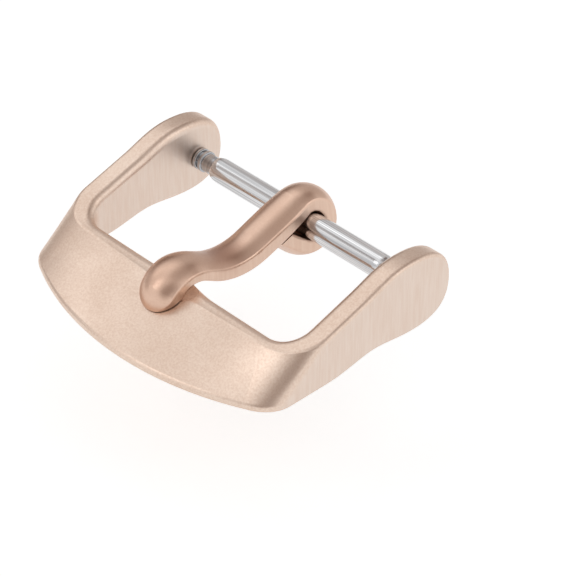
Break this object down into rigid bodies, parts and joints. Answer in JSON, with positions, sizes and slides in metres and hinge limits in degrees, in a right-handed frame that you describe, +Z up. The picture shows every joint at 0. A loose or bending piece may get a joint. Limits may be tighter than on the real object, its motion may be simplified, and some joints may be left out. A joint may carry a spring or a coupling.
{
  "type": "watch tang buckle",
  "caption": "Satin rose-gold watch tang buckle with a broad sloping front plate, a bent tongue and a spring bar.",
  "frame": {"origin": "middle of the spring bar's axis, halfway between the arms", "axes": "+X along the spring bar toward the right arm, the front plate at -Y, +Z up, away from the wrist"},
  "size_m": [0.0236, 0.0193, 0.0058],
  "materials": {
    "rose_gold_satin": "rose-gold coloured plating, fine satin grain",
    "rose_gold_tongue": "rose-gold coloured plating, smooth satin",
    "bar_steel": "polished steel with faint lengthwise drawing lines",
    "pin_steel": "turned steel",
    "spring_steel": "drawn spring wire"
  },
  "bodies": {
    "frame": {"buckle_frame": "rose_gold_satin"},
    "tongue": {"tongue": "rose_gold_tongue"},
    "bar": {"spring_bar_tube": "bar_steel", "spring_bar_spring": "spring_steel"},
    "pin_left": {"spring_bar_pin_left": "pin_steel"},
    "pin_right": {"spring_bar_pin_right": "pin_steel"}
  },
  "joints": [
    {"name": "tongue_swing", "type": "hinge", "parent": "frame", "child": "tongue", "pos_m": [0, 0, 0], "axis": [-1, 0, 0], "range_deg": [0, 328]},
    {"name": "bar_spin", "type": "hinge", "parent": "frame", "child": "bar", "pos_m": [0, 0, 0], "axis": [1, 0, 0], "continuous": true},
    {"name": "pin_left_press", "type": "slide", "parent": "bar", "child": "pin_left", "axis": [1, 0, 0], "range_m": [0, 0.00086], "stiffness_N_per_m": 1000, "springref_m": -0.001, "deforming": ["spring_bar_spring"]},
    {"name": "pin_right_press", "type": "slide", "parent": "bar", "child": "pin_right", "axis": [-1, 0, 0], "range_m": [0, 0.00086], "stiffness_N_per_m": 1000, "springref_m": -0.001, "deforming": ["spring_bar_spring"]}
  ]
}
